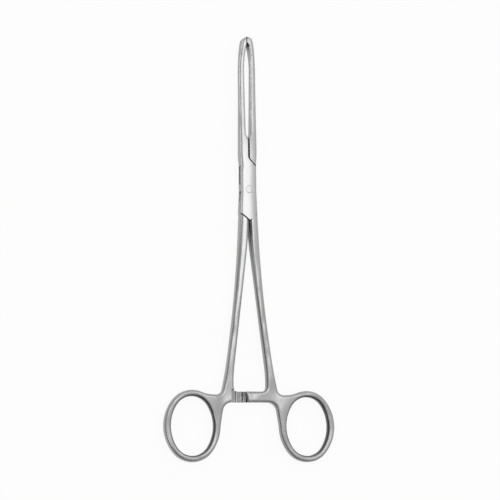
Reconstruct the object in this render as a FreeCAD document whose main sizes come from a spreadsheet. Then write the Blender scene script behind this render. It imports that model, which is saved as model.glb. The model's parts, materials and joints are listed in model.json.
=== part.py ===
import FreeCAD, Part
import math
import os

import Sketcher

# Ring-handled tissue forceps with a box lock, lying flat and closed.
# X runs across the instrument, Y along it towards the jaws, Z through its thickness.
# The origin is on the pivot's axis, on the flat underside of the box lock.
# Two forged halves cross in the lock: one is split into two cheeks, and the other
# passes between them as a thinner tongue. A flush pin holds them together.

# Driving dimensions, in millimetres. Places along Y are distances from the pivot.
SIZES = {
    # Box lock
    "lock_thickness": 5.8,
    "lock_half_width": 3.62,
    "lock_waist": 1.0,
    "lock_front_side": 10.7,
    "lock_front_middle": 15.1,
    "lock_rear_side": 11.3,
    "lock_rear_middle": 14.7,
    "lock_rear_half_width": 4.08,
    "lock_flat_front": 9.5,
    "lock_edge_round": 0.8,
    "core_half_width": 1.7,
    "jaw_start": 8.0,
    "shank_start": 5.2,
    # Tongue, and the slot that it turns in
    "slot_height": 2.4,
    "tongue_side_play": 0.1,
    "shoulder_gap": 0.25,
    "tongue_inset": 0.12,
    "tongue_shoulder_x": 3.4,
    "tongue_shoulder_y": 10.9,
    "waist_half_width": 2.0,
    "waist_short": 3.0,
    "waist_long": 4.4,
    "bridge_inner": 2.9,
    "bridge_long": 2.7,
    "bridge_short": 0.7,
    # Pivot pin
    "pin_radius": 1.1,
    "pin_play": 0.05,
    "pin_head_radius": 1.6,
    "pin_head_depth": 0.5,
    # Jaws, whose tip is measured back from its end
    "jaw_reach": 73.25,
    "jaw_half_width": 4.03,
    "jaw_swell": 8.5,
    "jaw_taper": 17.25,
    "jaw_corner_inset": 1.75,
    "jaw_corner_back": 0.75,
    "jaw_tip_height": 5.6,
    "jaw_tip_flat": 2.75,
    "jaw_flare": 12.5,
    "jaw_neck_height": 3.5,
    "jaw_outer_round": 1.1,
    "window_edge_round": 0.9,
    "jaw_corner_round": 1.8,
    # Window between the closed jaws
    "shoulder_half_gap": 0.3,
    "shoulder_length": 9.3,
    "window_foot": 2.2,
    "window_foot_half": 1.18,
    "window_half": 1.42,
    "window_taper": 12.3,
    "window_corner_round": 2.6,
    # Jaw teeth, and the hook that carries them
    "tooth_width": 2.95,
    "hook_slope": 1.0,
    "tooth_pitch": 1.27,
    "tooth_depth": 1.0,
    "tooth_play": 0.1,
    "tooth_tip_width": 0.34,
    # Shanks
    "shank_root_gap": 0.3,
    "shank_root_end": 13.5,
    "shank_fork": 29.5,
    "shank_fork_half": 1.2,
    "shank_low_above_rack": 11.45,
    "shank_low_inner": 7.55,
    "shank_flare_above_rack": 14.2,
    "shank_flare_outer": 10.72,
    "handle_height": 4.3,
    "handle_slim_length": 34.45,
    "handle_edge_round": 1.3,
    # Finger rings
    "ring_x": 27.75,
    "ring_y": 110.15,
    "ring_hole_half_width": 10.25,
    "ring_hole_half_length": 13.6,
    "ring_bar_side": 3.1,
    "ring_bar_end": 2.85,
    "ring_end_share": 0.865,
    # Webs between shank, ring and rack arm, measured from the ring's outside
    "saddle_beside_ring": 0.55,
    "saddle_below_top": 2.1,
    "saddle_end_beyond": 11.55,
    "saddle_end_below_top": 1.8,
    "saddle_round": 3.0,
    "saddle_blend": 15.0,
    "heel_beside_ring": 1.85,
    "heel_end_within": 0.95,
    "heel_end_below": 5.85,
    "heel_round": 4.5,
    "heel_blend": 28.0,
    "crotch_x": 7.9,
    "crotch_round": 2.4,
    # Racks that lock the handles
    "rack_above_ring": 15.95,
    "rack_width": 5.1,
    "rack_end_top": 2.3,
    "rack_end_bottom": 1.3,
    "rack_root": 9.3,
    "rack_overrun": 0.9,
    "rack_play": 0.1,
    "rack_pitch": 2.15,
    "rack_tooth_depth": 0.65,
    "rack_catch": 0.4,
    "rack_ramp": 1.6,
}
RACK_NOTCHES = 4
MALE_JAW_NOTCHES = 4
FEMALE_JAW_NOTCHES = 5
# The web's upper side meets the ring's outside about here, as shares of the ring's half sizes
SADDLE_CROSSING_ACROSS = 0.45
SADDLE_CROSSING_ALONG = 0.89
# Points closer together than this count as one place
NEAR = 0.05

doc = FreeCAD.newDocument("TissueForceps")
sheet = doc.addObject("Spreadsheet::Sheet", "Sizes")
for row, (name, number) in enumerate(SIZES.items(), start=1):
    sheet.set(f"A{row}", name)
    sheet.set(f"B{row}", str(number))
    sheet.setAlias(f"B{row}", name)
doc.recompute()


class Size:
    """A number together with the sheet formula that it comes from."""

    def __init__(self, number, formula):
        self.number = number
        self.formula = formula

    def __add__(self, other):
        other = as_size(other)
        return Size(self.number + other.number, f"({self.formula} + {other.formula})")

    def __sub__(self, other):
        other = as_size(other)
        return Size(self.number - other.number, f"({self.formula} - {other.formula})")

    def __mul__(self, other):
        other = as_size(other)
        return Size(self.number * other.number, f"({self.formula} * {other.formula})")

    def __truediv__(self, other):
        other = as_size(other)
        return Size(self.number / other.number, f"({self.formula} / {other.formula})")

    def __neg__(self):
        return Size(-self.number, f"(-{self.formula})")


def as_size(value):
    """Give a plain number the same form as a sheet size."""
    if isinstance(value, Size):
        return value
    return Size(float(value), f"({value})")


def of(name):
    """Look a driving dimension up in the sheet."""
    return Size(float(SIZES[name]), f"Sizes.{name}")


def square_radius(across, along):
    """Radius of an arc that sets off square to one side and moves this far over and along."""
    return (across * across + along * along) / (across * 2)


def line_through(x, first, second):
    """Height at x of the straight line through two points of the plan."""
    slope = (second[1] - first[1]) / (second[0] - first[0])
    return first[1] + slope * (x - first[0])


def origin_item(body, role):
    """Find one of a body's own origin planes or axes."""
    for item in body.Origin.OriginFeatures:
        if item.Role == role:
            return item
    raise ValueError(role)


class Outline:
    """A pen that draws one closed sketch loop and ties every corner to the sheet.

    With side -1 the loop is drawn as its mirror image across the sketch's second axis."""

    def __init__(self, sketch, x, y, side=1):
        self.sketch = sketch
        self.side = side
        self.start = self.place(x, y)
        self.here = self.start
        self.first = None
        self.last = None
        self.heading = None

    def place(self, x, y):
        return (as_size(x) * self.side, as_size(y))

    def vector(self, point):
        return FreeCAD.Vector(point[0].number, point[1].number, 0)

    def rule(self, size, *parts):
        index = self.sketch.addConstraint(Sketcher.Constraint(*parts, size.number))
        self.sketch.setExpression(f"Constraints[{index}]", size.formula)

    def add(self, shape, begin, end, target, tangent):
        item = self.sketch.addGeometry(shape, False)
        if self.first is None:
            self.first = (item, begin)
            self.rule(self.start[0], "DistanceX", -1, 1, item, begin)
            self.rule(self.start[1], "DistanceY", -1, 1, item, begin)
        else:
            kind = "Tangent" if tangent else "Coincident"
            self.sketch.addConstraint(Sketcher.Constraint(kind, *self.last, item, begin))
        self.last = (item, end)
        if target is None:
            self.sketch.addConstraint(Sketcher.Constraint("Coincident", item, end, *self.first))
        else:
            self.rule(target[0], "DistanceX", -1, 1, item, end)
            self.rule(target[1], "DistanceY", -1, 1, item, end)
            self.here = target
        return item

    def line_to(self, x, y, tangent=False):
        target = self.place(x, y)
        a = self.vector(self.here)
        b = self.vector(target)
        self.heading = (b - a).normalize()
        self.add(Part.LineSegment(a, b), 1, 2, target, tangent)

    def draw_arc(self, target, leaving, tangent, radius=None):
        a = self.vector(self.here)
        b = self.vector(target or self.start)
        side = FreeCAD.Vector(-leaving.y, leaving.x, 0)
        chord = b - a
        bend = chord.Length ** 2 / (2 * chord.dot(side))
        centre = a + side * bend
        begin_angle = math.atan2(a.y - centre.y, a.x - centre.x)
        end_angle = math.atan2(b.y - centre.y, b.x - centre.x)
        circle = Part.Circle(centre, FreeCAD.Vector(0, 0, 1), abs(bend))
        if bend > 0:
            item = self.add(Part.ArcOfCircle(circle, begin_angle, end_angle), 1, 2, target, tangent)
        else:
            item = self.add(Part.ArcOfCircle(circle, end_angle, begin_angle), 2, 1, target, tangent)
        if radius is not None:
            self.rule(radius, "Radius", item)
        way = chord.normalize()
        self.heading = way * (2 * leaving.dot(way)) - leaving

    def arc_to(self, x, y):
        """Carry on from the last edge in a tangent arc."""
        self.draw_arc(self.place(x, y), self.heading, True)

    def arc_leaving(self, x, y, heading, radius):
        """Set off along a given heading, in an arc whose radius the sheet gives."""
        leaving = FreeCAD.Vector(heading[0] * self.side, heading[1], 0)
        self.draw_arc(self.place(x, y), leaving, False, radius)

    def arc_arriving(self, x, y, heading, radius):
        """Arrive along a given heading, in an arc whose radius the sheet gives."""
        target = self.place(x, y)
        arriving = FreeCAD.Vector(heading[0] * self.side, heading[1], 0)
        way = (self.vector(target) - self.vector(self.here)).normalize()
        self.draw_arc(target, way * (2 * arriving.dot(way)) - arriving, False, radius)

    def arcs_towards(self, points, x, y):
        """Draw tangent arcs through the points, then a straight edge that ends at x, y."""
        places = [self.here] + [self.place(*point) for point in points]
        end = self.vector(self.place(x, y))
        back = (self.vector(places[-1]) - end).normalize()
        headings = []
        for begin, finish in reversed(list(zip(places, places[1:]))):
            way = (self.vector(begin) - self.vector(finish)).normalize()
            back = way * (2 * back.dot(way)) - back
            headings.append(-back)
        for place, leaving in zip(places[1:], reversed(headings)):
            self.draw_arc(place, leaving, place is not places[1])
        self.line_to(x, y, tangent=True)

    def close(self):
        line = Part.LineSegment(self.vector(self.here), self.vector(self.start))
        self.add(line, 1, 2, None, False)

    def close_with_arc(self):
        self.draw_arc(None, self.heading, True)


def new_sketch(body, name, role, offset=None):
    """Put an empty sketch on one of the body's own planes."""
    sketch = body.newObject("Sketcher::SketchObject", name)
    sketch.AttachmentSupport = [(origin_item(body, role), "")]
    sketch.MapMode = "FlatFace"
    if offset is not None:
        sketch.setExpression("AttachmentOffset.Base.z", offset.formula)
    return sketch


def draw_oval(sketch, x, y, half_width, half_length):
    """Draw an upright oval of four tangent arcs, whose ends are as round as its sides allow."""
    end_radius = half_width * of("ring_end_share")
    rise = half_length - end_radius
    over = half_width - end_radius
    side_radius = (half_width * half_width + rise * rise - end_radius * end_radius) / (over * 2)
    reach = side_radius - end_radius
    joint_x = (side_radius - half_width) * end_radius / reach
    joint_y = side_radius * rise / reach
    pen = Outline(sketch, x + joint_x, y - joint_y)
    upward = math.atan2(joint_y.number, (side_radius - half_width + joint_x).number)
    pen.arc_leaving(x + joint_x, y + joint_y, (math.sin(upward), math.cos(upward)), side_radius)
    pen.arc_to(x - joint_x, y + joint_y)
    pen.arc_to(x - joint_x, y - joint_y)
    pen.close_with_arc()


def draw_circle(sketch, radius):
    """Draw a circle on the pivot's axis."""
    circle = Part.Circle(FreeCAD.Vector(0, 0, 0), FreeCAD.Vector(0, 0, 1), radius.number)
    item = sketch.addGeometry(circle, False)
    sketch.addConstraint(Sketcher.Constraint("Coincident", item, 3, -1, 1))
    index = sketch.addConstraint(Sketcher.Constraint("Radius", item, radius.number))
    sketch.setExpression(f"Constraints[{index}]", radius.formula)


def pad(body, name, sketch, height):
    """Thicken a sketch equally to both sides of its plane."""
    feature = body.newObject("PartDesign::Pad", name)
    feature.Profile = sketch
    feature.SideType = "Symmetric"
    feature.setExpression("Length", height.formula)
    doc.recompute()
    return feature


def pocket(body, name, sketch, depth, both_sides=True, reverse=False):
    """Cut a sketch away, and make sure that it cut."""
    before = body.Shape.Volume
    feature = body.newObject("PartDesign::Pocket", name)
    feature.Profile = sketch
    feature.SideType = "Symmetric" if both_sides else "One side"
    feature.Reversed = reverse
    feature.setExpression("Length", depth.formula)
    doc.recompute()
    if not feature.Shape.Volume < before - 1e-6:
        raise RuntimeError(f"{body.Label}: {name} cuts nothing")
    return feature


def row_of(body, name, feature, role, step, copies, reverse=False):
    """Repeat a cut along one of the body's own axes."""
    pattern = body.newObject("PartDesign::LinearPattern", name)
    pattern.Originals = [feature]
    pattern.Direction = (origin_item(body, role), [""])
    pattern.Mode = "Spacing"
    pattern.setExpression("Offset", step.formula)
    pattern.Occurrences = copies
    pattern.Reversed = reverse
    body.Tip = pattern
    doc.recompute()


def round_edges(body, name, edges, radius):
    """Round the named edges of the body's newest feature."""
    if not edges:
        raise RuntimeError(f"{body.Label}: {name} finds no edges")
    base = body.Tip
    feature = body.newObject("PartDesign::Fillet", name)
    feature.Base = (base, edges)
    feature.setExpression("Radius", radius.formula)
    doc.recompute()
    if "Invalid" in feature.State or feature.Shape.isNull() or not feature.Shape.isValid():
        raise RuntimeError(f"{body.Label}: {name} fails")
    return feature


def upright_edge_near(body, x, y):
    """Name the vertical edge of the body that stands nearest to a point of the plan."""
    nearest = None
    for index, edge in enumerate(body.Shape.Edges, start=1):
        a = edge.Vertexes[0].Point
        b = edge.Vertexes[-1].Point
        if math.hypot(a.x - b.x, a.y - b.y) > 1e-4 or abs(a.z - b.z) < 1:
            continue
        away = math.hypot(a.x - x.number, a.y - y.number)
        if nearest is None or away < nearest[0]:
            nearest = (away, f"Edge{index}")
    return nearest[1]


def rim_edges(body, wanted):
    """Name the edges between an upright wall and a side that lies nearly flat."""
    names = []
    shape = body.Shape
    for index, edge in enumerate(shape.Edges, start=1):
        middle = edge.valueAt((edge.FirstParameter + edge.LastParameter) / 2)
        if not wanted(middle):
            continue
        tilts = []
        for face in shape.ancestorsOfType(edge, Part.Face):
            u, v = face.Surface.parameter(middle)
            tilts.append(abs(face.normalAt(u, v).z))
        if len(tilts) == 2 and min(tilts) < 0.1 and max(tilts) > 0.75:
            names.append(f"Edge{index}")
    return names


def cut_side_profile(body):
    """Bring the blank to its thickness, which varies along its length.

    Each station gives a place along Y, the full thickness there, and the share of the
    stretch before it that the first of its two bends takes. A straight stretch has none."""
    flare_end = of("jaw_reach") - of("jaw_tip_flat")
    stations = (
        (of("jaw_reach") + of("tooth_width"), of("jaw_tip_height"), None),
        (flare_end, of("jaw_tip_height"), None),
        (flare_end - of("jaw_flare"), of("jaw_neck_height"), 0.4),
        (of("lock_front_middle"), of("lock_thickness"), 0.75),
        (-of("lock_rear_middle"), of("lock_thickness"), None),
        (-rack_top() + of("handle_slim_length"), of("handle_height"), 0.2),
        (-(of("ring_y") + of("ring_hole_half_length") * 2), of("handle_height"), None),
    )
    sketch = new_sketch(body, "side_profile", "YZ_Plane")
    clear = of("lock_thickness") * 2
    for face in (0.5, -0.5):
        place, height, _ = stations[0]
        pen = Outline(sketch, place, height * face)
        for next_place, next_height, share in stations[1:]:
            if share is None:
                pen.line_to(next_place, next_height * face)
            else:
                along = next_place - place
                rise = (next_height - height) * face
                first_bend = square_radius(rise * share, along * share)
                if first_bend.number < 0:
                    first_bend = -first_bend
                pen.arc_leaving(place + along * share, height * face + rise * share, (-1, 0), first_bend)
                pen.arc_to(next_place, next_height * face)
            place = next_place
            height = next_height
        pen.line_to(place, clear * face)
        pen.line_to(stations[0][0], clear * face)
        pen.close()
    return pocket(body, "side_profile_cut", sketch, of("ring_x") * 4)


def rack_top():
    """Distance from the pivot to the upper side of the rack arms."""
    return of("ring_y") - of("rack_above_ring")


def lock_side_at(y):
    """Half width of the lock's tapering rear stretch at a distance behind the pivot."""
    taper = (of("lock_rear_half_width") - of("lock_half_width")) / (of("lock_rear_side") - of("lock_waist"))
    return of("lock_half_width") + taper * (y - of("lock_waist"))


def forge_blank(body, side):
    """Make the bar that one half is forged from: jaw, shank, finger ring and rack arm.

    With side 1 the jaw lies at negative X and the shank at positive X. A narrow core,
    which the lock hides, joins the two."""
    core = of("core_half_width")
    jaw = of("jaw_half_width")
    lock = of("lock_half_width")
    gap = of("shoulder_half_gap")
    tip = of("tooth_depth") / 2
    reach = of("jaw_reach")
    window_foot = of("lock_front_middle") + of("shoulder_length")
    palate = reach - of("tooth_width")
    window_top = palate - of("hook_slope")
    window_foot_top = window_foot + of("window_foot")
    corner_x = jaw - of("jaw_corner_inset")
    rack_bottom = rack_top() + of("rack_width")
    ring_side = of("ring_x") - of("ring_hole_half_width") - of("ring_bar_side")
    ring_top = of("ring_hole_half_length") + of("ring_bar_end") - of("ring_y")
    saddle_x = ring_side - of("saddle_beside_ring")
    saddle_y = ring_top - of("saddle_below_top")
    heel_x = ring_side - of("heel_beside_ring")

    plan = new_sketch(body, "plan", "XY_Plane")
    pen = Outline(plan, core, of("jaw_start"), side)
    # Inner side of the jaw, from the shoulder past the window to the teeth
    pen.line_to(-gap, of("jaw_start"))
    pen.line_to(-gap, window_foot)
    pen.line_to(-of("window_foot_half"), window_foot_top)
    pen.line_to(-of("window_half"), window_top - of("window_taper"))
    pen.arc_to(-tip, window_top)
    pen.line_to(tip, palate)
    pen.line_to(tip, reach)
    # Outer side of the jaw, back to the lock
    pen.line_to(-corner_x, reach - of("jaw_corner_back"))
    taper = of("jaw_taper") - of("jaw_corner_back")
    jaw_bend = square_radius(of("jaw_corner_inset"), taper)
    pen.arc_arriving(-jaw, reach - of("jaw_taper"), (0, -1), jaw_bend)
    pen.line_to(-jaw, of("lock_flat_front") + of("jaw_swell"))
    pen.arc_to(-(jaw + lock) / 2, of("lock_flat_front") + of("jaw_swell") / 2)
    pen.arc_to(-lock, of("lock_flat_front"))
    pen.line_to(-lock, of("jaw_start"))
    # Core
    pen.line_to(-core, of("jaw_start"))
    pen.line_to(-core, -of("shank_start"))
    # Inner side of the shank, down to the crotch above the rack arm
    pen.line_to(of("shank_root_gap"), -of("shank_start"))
    pen.line_to(of("shank_root_gap"), -of("shank_root_end"))
    pen.arc_to(of("shank_fork_half"), -of("shank_fork"))
    pen.arc_to(of("shank_low_inner"), -rack_top() + of("shank_low_above_rack"))
    pen.arc_to(of("crotch_x"), -rack_top())
    # Rack arm
    pen.line_to(-of("rack_end_top"), -rack_top())
    pen.line_to(-of("rack_end_bottom"), -rack_bottom)
    pen.line_to(heel_x, -rack_bottom)
    # Web that reaches into the ring
    pen.line_to(ring_side + of("heel_end_within"), -of("ring_y") - of("heel_end_below"))
    pen.line_to(ring_side + of("saddle_end_beyond"), ring_top - of("saddle_end_below_top"))
    pen.line_to(saddle_x, saddle_y)
    # Outer side of the shank, back to the lock
    pen.arcs_towards(
        [
            (of("shank_flare_outer"), -rack_top() + of("shank_flare_above_rack")),
            (of("lock_rear_half_width"), -of("lock_rear_side")),
        ],
        lock_side_at(of("shank_start")),
        -of("shank_start"),
    )
    pen.line_to(core, -of("shank_start"))
    pen.close()
    blank_height = of("lock_thickness") * 2
    pad(body, "bar", plan, blank_height)

    ring_x = of("ring_x") * side
    ring_y = -of("ring_y")
    ring = new_sketch(body, "ring_outside", "XY_Plane")
    outer_width = of("ring_hole_half_width") + of("ring_bar_side")
    outer_length = of("ring_hole_half_length") + of("ring_bar_end")
    draw_oval(ring, ring_x, ring_y, outer_width, outer_length)
    pad(body, "ring", ring, blank_height)

    # Corners of the plan, each rounded with a radius of its own
    saddle_crossing = (
        ring_x - outer_width * SADDLE_CROSSING_ACROSS * side,
        ring_y + outer_length * SADDLE_CROSSING_ALONG,
    )
    heel_crossing = (ring_x - outer_width * side, ring_y)
    for name, x, y, radius in (
        ("saddle", saddle_x * side, saddle_y, "saddle_round"),
        ("saddle_into_ring", *saddle_crossing, "saddle_blend"),
        ("heel", heel_x * side, -rack_bottom, "heel_round"),
        ("heel_into_ring", *heel_crossing, "heel_blend"),
        ("crotch", of("crotch_x") * side, -rack_top(), "crotch_round"),
        ("jaw_corner", -corner_x * side, reach - of("jaw_corner_back"), "jaw_corner_round"),
        ("window_corner", -of("window_foot_half") * side, window_foot_top, "window_corner_round"),
    ):
        round_edges(body, name, [upright_edge_near(body, x, y)], of(radius))

    hole = new_sketch(body, "ring_inside", "XY_Plane")
    draw_oval(hole, ring_x, ring_y, of("ring_hole_half_width"), of("ring_hole_half_length"))
    pocket(body, "ring_hole", hole, blank_height)
    cut_side_profile(body)

    def on_handle(point):
        return point.y < -of("shank_start").number - NEAR

    def outside_jaw(point):
        beyond_window = abs(point.x) > of("window_half").number + NEAR or point.y > palate.number
        on_teeth = abs(point.x - tip.number * side) < NEAR
        return point.y > of("jaw_start").number + NEAR and beyond_window and not on_teeth

    def beside_window(point):
        inner_side = abs(point.x) < of("window_half").number + NEAR
        return window_foot.number + NEAR < point.y < window_top.number and inner_side

    round_edges(body, "handle_edges", rim_edges(body, on_handle), of("handle_edge_round"))
    round_edges(body, "window_edges", rim_edges(body, beside_window), of("window_edge_round"))
    round_edges(body, "jaw_outer_edges", rim_edges(body, outside_jaw), of("jaw_outer_round"))


def cut_rack(body, side, layer):
    """Halve the rack arm's thickness, and notch the inside of what is left.

    With layer 1 the upper half of the arm stays, with its teeth pointing down. Each tooth
    has a steep catch towards its own ring and a ramp towards the arm's end. Counting from
    the pivot's axis, the catches of both arms stand at the same places."""
    middle = rack_top() + of("rack_width") / 2
    reach = of("rack_width") + of("rack_overrun") * 2
    crest = of("rack_play") / 2 * layer
    clear = -of("handle_height") * layer
    relief = new_sketch(body, "rack_relief", "XZ_Plane", middle)
    pen = Outline(relief, of("rack_root"), crest, side)
    pen.line_to(-of("rack_root"), crest)
    pen.line_to(-of("rack_root"), clear)
    pen.line_to(of("rack_root"), clear)
    pen.close()
    pocket(body, "rack_half", relief, reach)

    notch = new_sketch(body, "rack_notch", "XZ_Plane", middle)
    floor = crest + of("rack_tooth_depth") * layer
    mouth = crest - of("rack_play") * layer
    valley = of("rack_catch")
    end = valley + of("rack_ramp")
    pen = Outline(notch, 0, mouth, side)
    pen.line_to(0, crest)
    pen.line_to(valley, floor)
    pen.line_to(end, crest)
    pen.line_to(end, mouth)
    pen.close()
    cut = pocket(body, "rack_tooth_gap", notch, reach)
    row_of(body, "rack_teeth", cut, "X_Axis", of("rack_pitch"), RACK_NOTCHES, side < 0)


def cut_jaw_teeth(body, side, notches):
    """Notch the jaw's tip right across, so that its teeth fit between the other jaw's."""
    half_pitch = of("tooth_pitch") / 2
    mouth = half_pitch - of("tooth_tip_width") / 2
    floor = of("tooth_tip_width") / 2 + of("tooth_play")
    tip = of("tooth_depth") / 2
    lowest = -half_pitch * (notches - 1)
    middle = of("jaw_reach") - of("tooth_width") / 2
    notch = new_sketch(body, "tooth_gap_shape", "XZ_Plane", -middle)
    pen = Outline(notch, tip + of("tooth_play"), lowest - mouth, side)
    pen.line_to(tip + of("tooth_play"), lowest + mouth)
    pen.line_to(-tip - of("tooth_play"), lowest + floor)
    pen.line_to(-tip - of("tooth_play"), lowest - floor)
    pen.close()
    cut = pocket(body, "tooth_gap", notch, of("tooth_width") * 3)
    row_of(body, "jaw_teeth", cut, "Z_Axis", of("tooth_pitch"), notches)


def pin_section(body):
    """Draw half of the pin's section, whose countersunk heads end flush with the lock."""
    sketch = new_sketch(body, "pin_section", "XZ_Plane")
    top = of("lock_thickness") / 2
    neck = top - of("pin_head_depth")
    pen = Outline(sketch, 0, -top)
    pen.line_to(of("pin_head_radius"), -top)
    pen.line_to(of("pin_radius"), -neck)
    pen.line_to(of("pin_radius"), neck)
    pen.line_to(of("pin_head_radius"), top)
    pen.line_to(0, top)
    pen.close()
    return sketch


def turn_pin_shape(body, kind, name):
    """Turn the pin's section about the pivot's axis, as a solid or as a cut."""
    feature = body.newObject(kind, name)
    sketch = pin_section(body)
    feature.Profile = sketch
    feature.ReferenceAxis = (origin_item(body, "Z_Axis"), [""])
    feature.Angle = 360
    body.Tip = feature
    doc.recompute()
    return feature


def stand_on_rest_plane(body):
    """Lift a body, modelled about its mid-plane, so that the lock's underside is at zero."""
    body.setExpression("Placement.Base.z", (of("lock_thickness") / 2).formula)


def make_female_half():
    """The half with the left jaw, the two cheeks of the lock and the right ring."""
    body = doc.addObject("PartDesign::Body", "FemaleHalf")
    body.Label = "female_half"
    forge_blank(body, 1)

    # Cheeks: a block over the core, as thick as the lock, whose ends slant
    lock = of("lock_half_width")
    rear = of("lock_rear_half_width")
    gap = of("shoulder_half_gap")
    plan = new_sketch(body, "cheek_plan", "XY_Plane")
    pen = Outline(plan, -rear, -of("lock_rear_side"))
    pen.line_to(-lock, -of("lock_waist"))
    pen.line_to(-lock, (of("jaw_start") + of("lock_flat_front")) / 2)
    pen.line_to(-gap, of("lock_front_middle"))
    pen.line_to(lock, of("lock_front_side"))
    pen.line_to(lock, -of("lock_waist"))
    pen.line_to(rear, -of("lock_rear_side"))
    pen.line_to(of("shank_root_gap"), -of("lock_rear_middle"))
    pen.close()
    pad(body, "cheeks", plan, of("lock_thickness"))

    def on_lock_sides(point):
        inside = -of("lock_rear_side").number < point.y < of("lock_front_side").number
        return inside and abs(point.x) > 0.98 * lock.number

    round_edges(body, "lock_edges", rim_edges(body, on_lock_sides), of("lock_edge_round"))

    # Slot for the tongue, with a bridge of metal left at each side
    slot = new_sketch(body, "slot_plan", "XY_Plane")
    beyond = rear * 2
    shoulder_x = of("tongue_shoulder_x")
    shoulder_y = of("tongue_shoulder_y") + of("shoulder_gap")
    front = of("lock_front_middle") + of("shoulder_gap")
    back = of("lock_rear_middle") + of("shoulder_gap")
    pen = Outline(slot, -beyond, shoulder_y)
    for x, y in (
        (-shoulder_x, shoulder_y),
        (gap, front),
        (beyond, front),
        (beyond, of("bridge_short")),
        (of("bridge_inner"), of("bridge_short")),
        (of("bridge_inner"), -of("bridge_long")),
        (beyond, -of("bridge_long")),
        (beyond, -shoulder_y),
        (shoulder_x, -shoulder_y),
        (-gap, -back),
        (-beyond, -back),
        (-beyond, -of("bridge_short")),
        (-of("bridge_inner"), -of("bridge_short")),
        (-of("bridge_inner"), of("bridge_long")),
        (-beyond, of("bridge_long")),
    ):
        pen.line_to(x, y)
    pen.close()
    pocket(body, "slot", slot, of("slot_height"))
    turn_pin_shape(body, "PartDesign::Groove", "pin_hole")
    cut_rack(body, 1, 1)
    cut_jaw_teeth(body, 1, FEMALE_JAW_NOTCHES)
    stand_on_rest_plane(body)
    return body


def make_male_half():
    """The half with the right jaw, the tongue of the lock and the left ring."""
    body = doc.addObject("PartDesign::Body", "MaleHalf")
    body.Label = "male_half"
    side = -1
    forge_blank(body, side)

    # Room for the cheeks above and below the tongue
    lock = of("lock_half_width")
    rear = of("lock_rear_half_width")
    gap = of("shoulder_half_gap")
    slack = of("shoulder_gap")
    tongue_height = of("slot_height") - of("tongue_side_play") * 2
    beyond = rear * 2
    front_line = ((gap, of("lock_front_middle")), (-lock, of("lock_front_side")))
    rear_line = ((-gap, -of("lock_rear_middle")), (rear, -of("lock_rear_side")))
    inward = of("core_half_width")
    relief = new_sketch(body, "cheek_room", "XY_Plane", tongue_height / 2)
    pen = Outline(relief, inward, line_through(inward, *front_line) + slack, side)
    pen.line_to(-beyond, line_through(-beyond, *front_line) + slack)
    pen.line_to(-beyond, line_through(-inward, *rear_line) - slack)
    pen.line_to(-inward, line_through(-inward, *rear_line) - slack)
    pen.line_to(beyond, line_through(beyond, *rear_line) - slack)
    pen.line_to(beyond, line_through(inward, *front_line) + slack)
    pen.close()
    upper = pocket(body, "upper_cheek_room", relief, of("lock_thickness"), False, True)
    mirror = body.newObject("PartDesign::Mirrored", "lower_cheek_room")
    mirror.Originals = [upper]
    mirror.MirrorPlane = (origin_item(body, "XY_Plane"), [""])
    body.Tip = mirror
    doc.recompute()

    # Tongue, waisted at the pivot so that it can turn between the bridges
    inset = of("tongue_inset")
    waist = of("waist_half_width")
    flush = lock - inset
    shoulder_x = of("tongue_shoulder_x")
    shoulder_y = of("tongue_shoulder_y")
    plan = new_sketch(body, "tongue_plan", "XY_Plane")
    pen = Outline(plan, -gap, of("lock_front_middle"), side)
    for x, y in (
        (shoulder_x, shoulder_y),
        (shoulder_x, of("waist_short")),
        (waist, of("waist_short")),
        (waist, -of("waist_long")),
        (lock_side_at(of("waist_long")) - inset, -of("waist_long")),
        (rear - inset, -of("lock_rear_side")),
        (gap, -of("lock_rear_middle")),
        (-shoulder_x, -shoulder_y),
        (-shoulder_x, -of("waist_short")),
        (-waist, -of("waist_short")),
        (-waist, of("waist_long")),
        (-flush, of("waist_long")),
        (-flush, of("lock_front_side")),
    ):
        pen.line_to(x, y)
    pen.close()
    pad(body, "tongue", plan, tongue_height)

    hole = new_sketch(body, "pin_bore_circle", "XY_Plane")
    draw_circle(hole, of("pin_radius") + of("pin_play"))
    pocket(body, "pin_bore", hole, of("lock_thickness"))
    cut_rack(body, side, -1)
    cut_jaw_teeth(body, side, MALE_JAW_NOTCHES)
    stand_on_rest_plane(body)
    return body


def make_pivot_pin():
    """The rivet that the halves turn on, ground flush with both cheeks."""
    body = doc.addObject("PartDesign::Body", "PivotPin")
    body.Label = "pivot_pin"
    turn_pin_shape(body, "PartDesign::Revolution", "pin")
    stand_on_rest_plane(body)
    return body


parts = [make_female_half(), make_male_half(), make_pivot_pin()]
doc.recompute()

for item in doc.Objects:
    if "Invalid" in item.State or "Error" in item.State:
        raise RuntimeError(f"{item.Label} failed: {item.State}")
os.makedirs("parts", exist_ok=True)
for part in parts:
    shape = part.Shape
    if shape.isNull() or not shape.isValid() or len(shape.Solids) != 1:
        raise RuntimeError(f"{part.Label} is not one sound solid")
    shape.exportStep(f"parts/{part.Label}.step")
    print(f"{part.Label}: volume {shape.Volume:.1f} mm3, box {shape.BoundBox}")
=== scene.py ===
# %% [markdown]
# # Tissue forceps in satin stainless steel
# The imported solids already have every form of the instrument: two forged halves that
# cross in a box lock, and the rivet that they turn on. So this scene leaves their shapes
# alone and gives them what metal needs to look like metal: a finish whose grain, polish
# and roughness vary over the surface, and something worth reflecting.

import json
import math

import bpy
from mathutils import Matrix, Vector

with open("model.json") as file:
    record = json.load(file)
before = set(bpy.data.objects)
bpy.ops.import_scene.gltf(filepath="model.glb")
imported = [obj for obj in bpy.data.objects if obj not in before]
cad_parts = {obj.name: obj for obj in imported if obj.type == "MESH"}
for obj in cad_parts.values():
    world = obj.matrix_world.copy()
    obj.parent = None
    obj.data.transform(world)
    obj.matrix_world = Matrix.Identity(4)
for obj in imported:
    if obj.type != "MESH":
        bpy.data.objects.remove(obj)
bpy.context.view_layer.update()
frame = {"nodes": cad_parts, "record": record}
print("nodes", sorted(frame["nodes"]))

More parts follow.
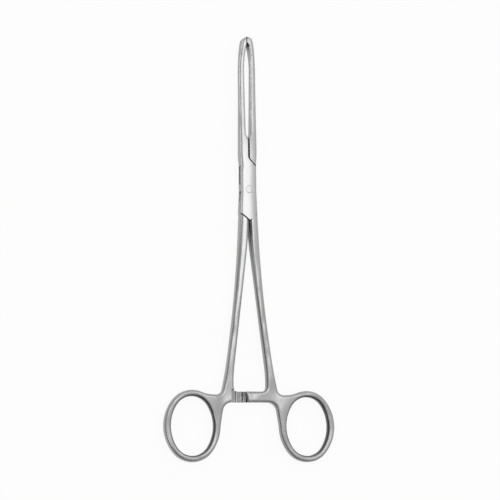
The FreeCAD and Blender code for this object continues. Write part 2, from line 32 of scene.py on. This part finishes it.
# %% [markdown]
# An effect that several steels share is a shader node group: it is built once, and each
# steel places it with its own values. Every node could be wired by hand, but the same few
# patterns come back all the time, so small helpers make them and the groups stay short.

# %% Helpers that wire nodes
def feed(tree, value, socket):
    """Link an output to a socket, or set the socket to a plain number."""
    if isinstance(value, bpy.types.NodeSocket):
        tree.links.new(value, socket)
    else:
        socket.default_value = value


def math_node(tree, operation, *values):
    """Add a Math node whose inputs are numbers or outputs of other nodes."""
    node = tree.nodes.new("ShaderNodeMath")
    node.operation = operation
    for value, socket in zip(values, node.inputs):
        feed(tree, value, socket)
    return node.outputs[0]


def map_node(tree, value, ends, results=(0.0, 1.0), smooth=False):
    """Turn a value between two ends into one between two results, and never beyond."""
    node = tree.nodes.new("ShaderNodeMapRange")
    if smooth:
        node.interpolation_type = "SMOOTHSTEP"
    names = ("Value", "From Min", "From Max", "To Min", "To Max")
    for name, setting in zip(names, (value, *ends, *results)):
        feed(tree, setting, node.inputs[name])
    return node.outputs["Result"]


def split_xyz(tree, vector):
    """Give the X, Y and Z of a vector as outputs of their own."""
    parts = tree.nodes.new("ShaderNodeSeparateXYZ")
    tree.links.new(vector, parts.inputs["Vector"])
    return parts.outputs


def lessen(tree, mask, share):
    """What is left of 1 where a mask takes a share of it away."""
    return math_node(tree, "SUBTRACT", 1.0, math_node(tree, "MULTIPLY", mask, share))


# %% Helpers that start and place groups
FLOAT = "NodeSocketFloat"
VECTOR = "NodeSocketVector"


def start_group(name, inputs, outputs):
    """Start a node group from its inputs' values and its outputs' kinds."""
    group = bpy.data.node_groups.new(name, "ShaderNodeTree")
    for label, value in inputs.items():
        socket = group.interface.new_socket(name=label, in_out="INPUT", socket_type=FLOAT)
        socket.default_value = value
    for label, kind in outputs.items():
        group.interface.new_socket(name=label, in_out="OUTPUT", socket_type=kind)
    given = group.nodes.new("NodeGroupInput").outputs
    result = group.nodes.new("NodeGroupOutput").inputs
    print("group", name, "takes", list(inputs), "and gives", list(outputs))
    return group, given, result


def place_group(tree, group, values):
    """Put a group in a material with its own values, and give its outputs."""
    node = tree.nodes.new("ShaderNodeGroup")
    node.node_tree = group
    for name, value in values.items():
        node.inputs[name].default_value = value
    return node.outputs


# %% [markdown]
# The instrument's steel isn't evenly shiny. The maker blasts it with fine beads, which
# leaves a satin skin, brushes it along its length and polishes it by hand, which leaves
# slow waves. One could paint such marks in an image, but noise that reads Object
# coordinates has no seams and stays with each half as it turns.

# %% A group that makes satin grain
# Each noise has its pace along X, Y and Z, then its scale, detail and roughness.
SPECKS = ((1, 1, 1), 5200.0, 2.0, 0.6)
BRUSHING = ((1, 0.035, 1), 4200.0, 3.0, 0.55)
CLOUDS = ((1, 0.45, 1), 160.0, 3.0, 0.5)
WAVES = ((1, 0.6, 0.3), 110.0, 1.0, 0.4)


def noise_node(tree, pace, scale, detail, roughness):
    """Add noise on Object coordinates that runs faster or slower along each axis."""
    place = tree.nodes.new("ShaderNodeTexCoord")
    mapping = tree.nodes.new("ShaderNodeMapping")
    mapping.inputs["Scale"].default_value = pace
    noise = tree.nodes.new("ShaderNodeTexNoise")
    noise.inputs["Scale"].default_value = scale
    noise.inputs["Detail"].default_value = detail
    noise.inputs["Roughness"].default_value = roughness
    tree.links.new(place.outputs["Object"], mapping.inputs["Vector"])
    tree.links.new(mapping.outputs["Vector"], noise.inputs["Vector"])
    return noise.outputs["Fac"]


def make_satin_grain():
    """Fine specks and long brush lines as a height, and two slower patterns."""
    inputs = {"Speck Strength": 0.6, "Brush Strength": 0.4}
    outputs = {"Height": FLOAT, "Clouds": FLOAT, "Waves": FLOAT}
    group, given, result = start_group("satin_grain", inputs, outputs)
    specks = math_node(group, "MULTIPLY", noise_node(group, *SPECKS), given["Speck Strength"])
    lines = math_node(group, "MULTIPLY", noise_node(group, *BRUSHING), given["Brush Strength"])
    group.links.new(math_node(group, "ADD", specks, lines), result["Height"])
    group.links.new(noise_node(group, *CLOUDS), result["Clouds"])
    group.links.new(noise_node(group, *WAVES), result["Waves"])
    return group


satin_grain = make_satin_grain()

# %% [markdown]
# The two halves meet in sharp seams, along which painted shade draws thin dark lines
# across the bright lock. The Bevel node gives the normal that a surface would have if its
# edges were rounded. Where that differs much from the true normal there is a sharp edge
# close by, so their dot product becomes a mask. The rounded normal is useful too: it blends
# the small flat facets of the fillets into one smooth bend.

# %% A group that finds sharp edges
EDGE_SAMPLES = 8
EDGE_FOLD = (0.03, 0.06)


def make_sharp_edges():
    """A mask that is 1 along sharp edges and 0 elsewhere, and a normal that runs smoothly."""
    outputs = {"Edge": FLOAT, "Normal": VECTOR}
    group, given, result = start_group("sharp_edges", {"Width": 0.0006}, outputs)
    rounded = group.nodes.new("ShaderNodeBevel")
    rounded.samples = EDGE_SAMPLES
    group.links.new(given["Width"], rounded.inputs["Radius"])
    true = group.nodes.new("ShaderNodeNewGeometry")
    likeness = group.nodes.new("ShaderNodeVectorMath")
    likeness.operation = "DOT_PRODUCT"
    group.links.new(rounded.outputs["Normal"], likeness.inputs[0])
    group.links.new(true.outputs["Normal"], likeness.inputs[1])
    fold = math_node(group, "SUBTRACT", 1.0, likeness.outputs["Value"])
    group.links.new(map_node(group, fold, EDGE_FOLD), result["Edge"])
    group.links.new(rounded.outputs["Normal"], result["Normal"])
    return group


sharp_edges = make_sharp_edges()

# %% [markdown]
# The grinding belt wraps round the narrow stretch from the jaws to the upper shanks, so
# the tops there are slightly crowned. The solids are flat on top, so a bump bends the
# light as if they were crowned: its height falls with the square of the distance from the
# middle line, by about 0.4 mm at the sides of the lock. It fades out along the shanks, and
# on the jaws it is half as high.

# %% A group that crowns the tops
FLAT_FACING = (0.25, 0.8)


def make_belt_crown():
    """The crown's height in metres, and masks of what is flat, in reach and ground."""
    inputs = {
        "Crown Radius": 0.018,
        "Rear Start": -0.06,
        "Full From": -0.02,
        "Jaws From": 0.018,
        "Jaws Full": 0.034,
        "Jaws Change": -0.5,
    }
    outputs = {"Fall": FLOAT, "Ground": FLOAT, "Flat": FLOAT, "Reach": FLOAT}
    group, given, result = start_group("belt_crown", inputs, outputs)
    place = group.nodes.new("ShaderNodeTexCoord")
    spot = split_xyz(group, place.outputs["Object"])
    facing = split_xyz(group, place.outputs["Normal"])

    square = math_node(group, "MULTIPLY", spot["X"], spot["X"])
    width = math_node(group, "MULTIPLY", given["Crown Radius"], -2.0)
    fall = math_node(group, "DIVIDE", square, width)
    reach = map_node(group, spot["Y"], (given["Rear Start"], given["Full From"]), smooth=True)
    jaws = map_node(group, spot["Y"], (given["Jaws From"], given["Jaws Full"]), smooth=True)
    change = math_node(group, "MULTIPLY", jaws, given["Jaws Change"])
    strength = math_node(group, "ADD", change, 1.0)
    fall = math_node(group, "MULTIPLY", fall, reach)
    group.links.new(math_node(group, "MULTIPLY", fall, strength), result["Fall"])

    level = math_node(group, "ABSOLUTE", facing["Z"])
    flat = map_node(group, level, FLAT_FACING, smooth=True)
    group.links.new(flat, result["Flat"])
    group.links.new(reach, result["Reach"])
    group.links.new(math_node(group, "MULTIPLY", flat, reach), result["Ground"])
    return group


belt_crown = make_belt_crown()

# %% [markdown]
# The joints are darkened with painted shade, where shade would fall in them. Their walls
# could be picked out by hand, but ambient occlusion over 2 mm finds such places by itself,
# and it still does when the instrument opens.

# %% A group that darkens the joints
SHADE_SAMPLES = 8
SHADE_OPENNESS = (0.35, 0.75)
SHADE_BRIGHTNESS = (0.06, 1.0)


def make_joint_shade():
    """A brightness that is 1 in the open and falls towards 0 inside narrow joints."""
    group, given, result = start_group("joint_shade", {"Reach": 0.002}, {"Brightness": FLOAT})
    # Painted shade: the occlusion darkens the colour where shade falls in narrow joints.
    hidden = group.nodes.new("ShaderNodeAmbientOcclusion")
    hidden.samples = SHADE_SAMPLES
    group.links.new(given["Reach"], hidden.inputs["Distance"])
    clear = map_node(group, hidden.outputs["AO"], SHADE_OPENNESS, SHADE_BRIGHTNESS)
    group.links.new(clear, result["Brightness"])
    return group


joint_shade = make_joint_shade()

# %% [markdown]
# The walls inside the finger rings and between the shanks just behind the lock get painted
# shade, which stands in for the dark reflections they show. Each half can tell from its own
# coordinates: a wall faces inwards where its normal points towards the middle line, and it
# belongs to a ring's hole where it lies in the hole's oval. The oval's middle is the middle
# of the record's box for that opening, and the oval reaches a little past the wall.

# %% Where the ring holes are
RING_HALF_WIDTH = 0.01025
RING_HALF_LENGTH = 0.0136
RING_REACH = 1.08

openings = {opening["name"]: opening for opening in frame["record"]["physics"]["openings"]}
low, high = openings["right_finger_ring"]["box_m"]
ring_middle = [(a + b) / 2 for a, b in zip(low, high)]
print("ring middle", ring_middle)


def ring_mask(tree, spot):
    """1 inside the ovals of the two ring holes, which mirror each other, and 0 outside."""
    across = math_node(tree, "ABSOLUTE", spot["X"])
    across = math_node(tree, "SUBTRACT", across, abs(ring_middle[0]))
    across = math_node(tree, "DIVIDE", across, RING_HALF_WIDTH)
    along = math_node(tree, "SUBTRACT", spot["Y"], ring_middle[1])
    along = math_node(tree, "DIVIDE", along, RING_HALF_LENGTH)
    across = math_node(tree, "MULTIPLY", across, across)
    along = math_node(tree, "MULTIPLY", along, along)
    total = math_node(tree, "ADD", across, along)
    return math_node(tree, "LESS_THAN", total, RING_REACH ** 2)


# %% A group that finds the insides
INWARD_FACING = (-0.05, -0.60)
STEEP_FACING = (0.95, 0.55)
FAR_SHARE = 0.2


def make_painted_inside_shade():
    """A mask that is 1 on the walls inside the rings and between the upper shanks."""
    inputs = {
        "Lock End": -0.012,
        "Shank Start": -0.016,
        "Fade From": -0.020,
        "Fade To": -0.042,
        "Fork Share": 1.0,
    }
    group, given, result = start_group("painted_inside_shade", inputs, {"Inside": FLOAT})
    place = group.nodes.new("ShaderNodeTexCoord")
    spot = split_xyz(group, place.outputs["Object"])
    facing = split_xyz(group, place.outputs["Normal"])

    side = math_node(group, "SIGN", spot["X"])
    outward = math_node(group, "MULTIPLY", side, facing["X"])
    inward = map_node(group, outward, INWARD_FACING, smooth=True)
    behind = map_node(group, spot["Y"], (given["Lock End"], given["Shank Start"]))
    fade = map_node(group, spot["Y"], (given["Fade From"], given["Fade To"]), (1.0, FAR_SHARE))
    between = math_node(group, "MULTIPLY", inward, behind)
    between = math_node(group, "MULTIPLY", between, fade)
    between = math_node(group, "MULTIPLY", between, given["Fork Share"])

    steep = map_node(group, math_node(group, "ABSOLUTE", facing["Z"]), STEEP_FACING)
    in_ring = math_node(group, "MULTIPLY", ring_mask(group, spot), steep)
    # This mask marks where painted shade darkens the walls.
    group.links.new(math_node(group, "MAXIMUM", in_ring, between), result["Inside"])
    return group


painted_inside_shade = make_painted_inside_shade()

# %% [markdown]
# The colour of each steel is one grey times a level. Clouds vary the level a little. The
# rest is painted light and shade: steep walls are darker than flat faces, flat faces on the
# belt's stretch are lighter, sharp crests beyond it, such as the racks' teeth, get a painted
# highlight, and joints, seams and the insides get painted shade. Several greys could be
# mixed by masks, but one level keeps the steel the same metal all over.

# %% The steel's colour
STEEL_GREY = (0.41, 0.41, 0.41)
TONE_RANGE = (0.93, 1.07)
# The levels below paint light and shade into the colour: darker walls, lighter ground tops, a
# highlight on the crests, and shade along seams and on the insides.
WALL_SHADE_LEVEL = 0.84
PAINTED_TOP_LIGHT = 0.2
CREST_HIGHLIGHT = 0.9
SEAM_SHADE = 0.97
INSIDE_SHADE_LEVEL = 0.17


def steel_colour(tree, grain, edges, belt, joints, inside_shade):
    """The steel's grey, with painted light on flat faces and crests and painted shade on
    walls, joints, seams and insides.
    """
    tone = map_node(tree, grain["Clouds"], (0.0, 1.0), TONE_RANGE)
    # Painted shade: steep walls are darker than flat faces.
    wall_shade = math_node(tree, "MULTIPLY", belt["Flat"], 1.0 - WALL_SHADE_LEVEL)
    wall_shade = math_node(tree, "ADD", wall_shade, WALL_SHADE_LEVEL)
    level = math_node(tree, "MULTIPLY", tone, wall_shade)
    # Painted light: flat faces on the belt's stretch are lighter.
    painted_light = math_node(tree, "MULTIPLY", belt["Ground"], PAINTED_TOP_LIGHT)
    level = math_node(tree, "ADD", level, painted_light)
    # Painted highlight: sharp edges beyond the belt's stretch, such as the rack crests, are
    # lighter.
    beyond_belt = math_node(tree, "SUBTRACT", 1.0, belt["Reach"])
    crest_highlight = math_node(tree, "MULTIPLY", edges["Edge"], beyond_belt)
    crest_highlight = math_node(tree, "MULTIPLY", crest_highlight, CREST_HIGHLIGHT)
    level = math_node(tree, "ADD", level, crest_highlight)

    # Painted shade along sharp edges on the belt's stretch, such as the seams.
    seam_shade = math_node(tree, "MULTIPLY", edges["Edge"], belt["Ground"])
    # The joints and the insides get painted shade as well.
    darker = (
        joints["Brightness"],
        lessen(tree, seam_shade, SEAM_SHADE),
        lessen(tree, inside_shade["Inside"], 1.0 - INSIDE_SHADE_LEVEL),
    )
    for part in darker:
        level = math_node(tree, "MULTIPLY", level, part)
    shade = tree.nodes.new("ShaderNodeVectorMath")
    shade.operation = "SCALE"
    shade.inputs[0].default_value = STEEL_GREY
    tree.links.new(level, shade.inputs["Scale"])
    return shade.outputs["Vector"]


# %% [markdown]
# Three height maps bend the light, from broad to fine: the belt's crown, the waves of the
# polishing hand, which the belt has nearly taken off its own stretch, and the grain of 4
# thousandths of a millimetre. Each Bump node starts from the normal of the one before,
# and the first starts from the rounded normal.

# %% The steel's relief
WAVE_HEIGHT = 0.0016
GRAIN_HEIGHT = 0.000004
BELT_CALM = 0.8


def add_bump(tree, height, distance, normal):
    """Tilt a normal by a height map, where a height of 1 is the distance in metres."""
    bump = tree.nodes.new("ShaderNodeBump")
    bump.inputs["Strength"].default_value = 1.0
    bump.inputs["Distance"].default_value = distance
    tree.links.new(height, bump.inputs["Height"])
    tree.links.new(normal, bump.inputs["Normal"])
    return bump.outputs["Normal"]


def steel_normal(tree, grain, edges, belt):
    """The rounded normal, bent by the crown, the waves and the grain."""
    crowned = add_bump(tree, belt["Fall"], 1.0, edges["Normal"])
    calm = lessen(tree, belt["Ground"], BELT_CALM)
    waves = math_node(tree, "MULTIPLY", grain["Waves"], calm)
    wavy = add_bump(tree, waves, WAVE_HEIGHT, crowned)
    return add_bump(tree, grain["Height"], GRAIN_HEIGHT, wavy)


# %% [markdown]
# Each steel is one Principled shader, fully metallic, whose clouds also vary its
# roughness. The pin's edge is finer than the halves', so that only a faint circle shows.
# The photograph shows the shade between the shanks on the female half and hardly any on
# the male half, so the halves have a steel each, which differ in their share of it.

# %% The steels
STEEL_ROUGHNESS = 0.30
ROUGHNESS_SPREAD = 0.15
SPECK_STRENGTH = 0.6
BRUSH_STRENGTH = 0.4
FORGED_EDGE = 0.0006
PIN_EDGE = 0.00005
MALE_FORK_SHARE = 0.3


def make_steel(name, edge_width, fork_share=1.0):
    """Satin stainless steel with painted light on the ground tops and painted shade in its
    joints and insides.
    """
    steel = bpy.data.materials.new(name)
    steel.use_nodes = True
    tree = steel.node_tree
    strengths = {"Speck Strength": SPECK_STRENGTH, "Brush Strength": BRUSH_STRENGTH}
    grain = place_group(tree, satin_grain, strengths)
    edges = place_group(tree, sharp_edges, {"Width": edge_width})
    belt = place_group(tree, belt_crown, {})
    joints = place_group(tree, joint_shade, {})
    inside_shade = place_group(tree, painted_inside_shade, {"Fork Share": fork_share})

    spread = (
        STEEL_ROUGHNESS * (1.0 - ROUGHNESS_SPREAD),
        STEEL_ROUGHNESS * (1.0 + ROUGHNESS_SPREAD),
    )
    gloss = map_node(tree, grain["Clouds"], (0.0, 1.0), spread)
    colour = steel_colour(tree, grain, edges, belt, joints, inside_shade)
    normal = steel_normal(tree, grain, edges, belt)
    shader = tree.nodes["Principled BSDF"].inputs
    shader["Metallic"].default_value = 1.0
    tree.links.new(colour, shader["Base Color"])
    tree.links.new(gloss, shader["Roughness"])
    tree.links.new(normal, shader["Normal"])
    return steel


finishes = {
    "female_half": make_steel("satin_steel_female", FORGED_EDGE),
    "male_half": make_steel("satin_steel_male", FORGED_EDGE, MALE_FORK_SHARE),
    "pivot_pin": make_steel("ground_pin_steel", PIN_EDGE),
}
for name, finish in finishes.items():
    for socket in frame["nodes"][name].material_slots:
        socket.material = finish
    print(name, "gets", finish.name)

# %% [markdown]
# The instrument lies on a white sweep that must look white even inside the narrow window
# between the jaws, where little light reaches. More light would burn out the steel. So
# the paper is partly a plain emission, which only the camera and mirror-like rays see,
# and the rest is matt paper that keeps the instrument's shadow.

# %% White paper
FLOOR_SIZE = 4.0
PAPER_WHITE = (0.93, 0.93, 0.93, 1)
PAPER_ROUGHNESS = 0.9
GLOW_SHARE = 0.92


def make_paper():
    """Matt white paper that glows a little for rays that look straight at it."""
    material = bpy.data.materials.new("white_paper")
    material.use_nodes = True
    tree = material.node_tree
    matt = tree.nodes["Principled BSDF"]
    matt.inputs["Base Color"].default_value = PAPER_WHITE
    matt.inputs["Roughness"].default_value = PAPER_ROUGHNESS
    matt.inputs["Specular IOR Level"].default_value = 0.0
    glow = tree.nodes.new("ShaderNodeEmission")
    glow.inputs["Strength"].default_value = 1.0
    ray = tree.nodes.new("ShaderNodeLightPath")
    seen = math_node(tree, "ADD", ray.outputs["Is Camera Ray"], ray.outputs["Is Glossy Ray"])
    seen = math_node(tree, "ADD", seen, ray.outputs["Is Transmission Ray"])
    share = math_node(tree, "MULTIPLY", seen, GLOW_SHARE)
    blend = tree.nodes.new("ShaderNodeMixShader")
    tree.links.new(share, blend.inputs[0])
    tree.links.new(matt.outputs[0], blend.inputs[1])
    tree.links.new(glow.outputs[0], blend.inputs[2])
    tree.links.new(blend.outputs[0], tree.nodes["Material Output"].inputs["Surface"])
    return material


bpy.ops.mesh.primitive_plane_add(size=FLOOR_SIZE)
floor = bpy.context.object
floor.name = "floor"
floor.data.materials.append(make_paper())
print("floor", FLOOR_SIZE, "m")

# %% [markdown]
# Steel shows nothing but its surroundings. Here they are a plain room that is darkest low
# on the near left side, which draws the thin dark lines along the instrument's edges, and
# grows paler towards one side, up and to the far right, which gives the flat tops their
# grey. A picture of a studio would do the same, but one direction and a few levels are
# enough: each level is a place between 0, facing away from the bright side, and 1,
# facing it, and a grey.

# %% Room
BRIGHT_SIDE = Vector((0.30, 0.50, 0.81)).normalized()
ROOM = ((0.41, 0.02), (0.53, 0.42), (0.70, 0.64), (0.90, 0.84), (1.0, 0.90))


def make_room(bright_side, levels):
    """A world that is brightest towards one side and fades with the angle from it."""
    world = bpy.data.worlds.new("studio")
    world.use_nodes = True
    tree = world.node_tree
    direction = tree.nodes.new("ShaderNodeTexCoord")
    nearness = tree.nodes.new("ShaderNodeVectorMath")
    nearness.operation = "DOT_PRODUCT"
    nearness.inputs[1].default_value = bright_side
    tree.links.new(direction.outputs["Generated"], nearness.inputs[0])
    place = map_node(tree, nearness.outputs["Value"], (-1.0, 1.0))
    ramp = tree.nodes.new("ShaderNodeValToRGB")
    while len(ramp.color_ramp.elements) < len(levels):
        ramp.color_ramp.elements.new(0.5)
    for element, (position, level) in zip(ramp.color_ramp.elements, levels):
        element.position = position
        element.color = (level, level, level, 1)
    tree.links.new(place, ramp.inputs["Fac"])
    tree.links.new(ramp.outputs["Color"], tree.nodes["Background"].inputs["Color"])
    return world


bpy.context.scene.world = make_room(BRIGHT_SIDE, ROOM)
print("room brightest towards", tuple(BRIGHT_SIDE))

# %% [markdown]
# The bright band along the left of the lock is the mirror image of a wide soft box that
# hangs overhead, a little beyond the jaws. A narrower, weaker strip hangs on the left,
# beside the handles, for the rings. Bare bulbs would give hard spots, so both are areas.

# %% Lamps
LAMP_AIM = Vector((0, -0.03, 0))

SOFT_BOX_PLACE = Vector((0.02, 0.17, 0.95))
SOFT_BOX_WIDTH = 0.80
SOFT_BOX_LENGTH = 0.26
SOFT_BOX_POWER = 1.15

STRIP_PLACE = Vector((-0.62, -0.32, 0.75))
STRIP_WIDTH = 0.12
STRIP_LENGTH = 0.7
STRIP_POWER = 0.6


def make_lamp(name, place, width, length, power):
    """A rectangular soft box that looks at the instrument."""
    data = bpy.data.lights.new(name, "AREA")
    data.shape = "RECTANGLE"
    data.size = width
    data.size_y = length
    data.energy = power
    lamp = bpy.data.objects.new(name, data)
    bpy.context.scene.collection.objects.link(lamp)
    lamp.location = place
    lamp.rotation_euler = (LAMP_AIM - place).to_track_quat("-Z", "Y").to_euler()
    print(name, power, "W at", tuple(place))


make_lamp("soft_box", SOFT_BOX_PLACE, SOFT_BOX_WIDTH, SOFT_BOX_LENGTH, SOFT_BOX_POWER)
make_lamp("strip_box", STRIP_PLACE, STRIP_WIDTH, STRIP_LENGTH, STRIP_POWER)

# %% [markdown]
# The camera stands almost overhead, a little to the left and towards the handles, far
# enough away that the instrument hardly narrows towards its tip. It could be aimed with a
# constraint, but its three axes say plainly how it is tilted and turned.

# %% Camera
TILT_LEFT = math.radians(18.0)
TILT_BACK = math.radians(8.0)
TURN = math.radians(0.578)
DISTANCE = 0.8944
LENS = 138.16
SENSOR_WIDTH = 36.0
MIDDLE = Vector((-0.0002, -0.02826, 0.0029))
SHIFT_RIGHT = 0.0046

turn = Matrix.Rotation(-TURN, 3, "Z")
across = turn @ Vector((math.cos(TILT_LEFT), 0, math.sin(TILT_LEFT)))
back = turn @ Vector((
    -math.sin(TILT_LEFT) * math.cos(TILT_BACK),
    -math.sin(TILT_BACK),
    math.cos(TILT_LEFT) * math.cos(TILT_BACK),
))
upward = back.cross(across)
camera_data = bpy.data.cameras.new("camera")
camera_data.lens = LENS
camera_data.sensor_width = SENSOR_WIDTH
camera_data.shift_x = SHIFT_RIGHT
camera = bpy.data.objects.new("camera", camera_data)
bpy.context.scene.collection.objects.link(camera)
pose = Matrix((across, upward, back)).transposed().to_4x4()
pose.translation = MIDDLE + back * DISTANCE
camera.matrix_world = pose
bpy.context.scene.camera = camera
bpy.context.scene.view_settings.view_transform = "Standard"
print("camera at", tuple(pose.translation))
